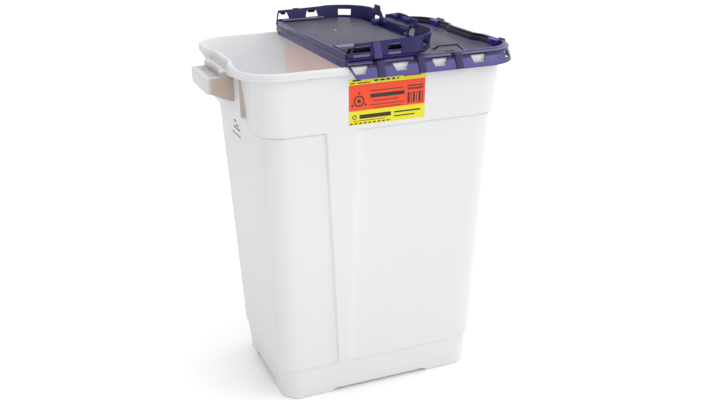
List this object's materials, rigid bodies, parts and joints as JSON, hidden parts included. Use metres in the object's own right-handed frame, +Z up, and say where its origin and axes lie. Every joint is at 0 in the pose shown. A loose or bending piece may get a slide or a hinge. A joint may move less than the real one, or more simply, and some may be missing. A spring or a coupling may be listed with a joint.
{
  "type": "sharps container",
  "caption": "Tall tapered white plastic tub with end handles and a clip-down lid; a living-hinge flap covers part of the mouth and folds back over the fixed lid.",
  "frame": {"origin": "middle of the footprint, on the surface the container stands on", "axes": "+X along the long side, away from the flap's end of the mouth; +Y to the back; +Z up"},
  "size_m": [0.4094, 0.2982, 0.5023],
  "materials": {
    "tub_pp": "satin white polypropylene, slightly translucent",
    "lid_pp": "satin navy-violet polypropylene",
    "label_film": "semi-gloss printed film, red-orange with yellow bands",
    "label_plain": "semi-gloss printed film, pale orange",
    "print_ink": "dark screen-printed ink"
  },
  "bodies": {
    "container": {"container_shell": "tub_pp", "handle_left": "tub_pp", "handle_right": "tub_pp", "lid_frame": "lid_pp", "living_hinge": "lid_pp", "label_front": "label_film", "label_back": "label_plain", "fill_marks": "print_ink"},
    "flap": {"lid_flap": "lid_pp"}
  },
  "joints": [
    {"name": "flap_hinge", "type": "hinge", "parent": "container", "child": "flap", "pos_m": [-0.05625, 0, 0.46945], "axis": [0, -1, 0], "range_deg": [0, 180], "deforming": ["living_hinge"]}
  ]
}
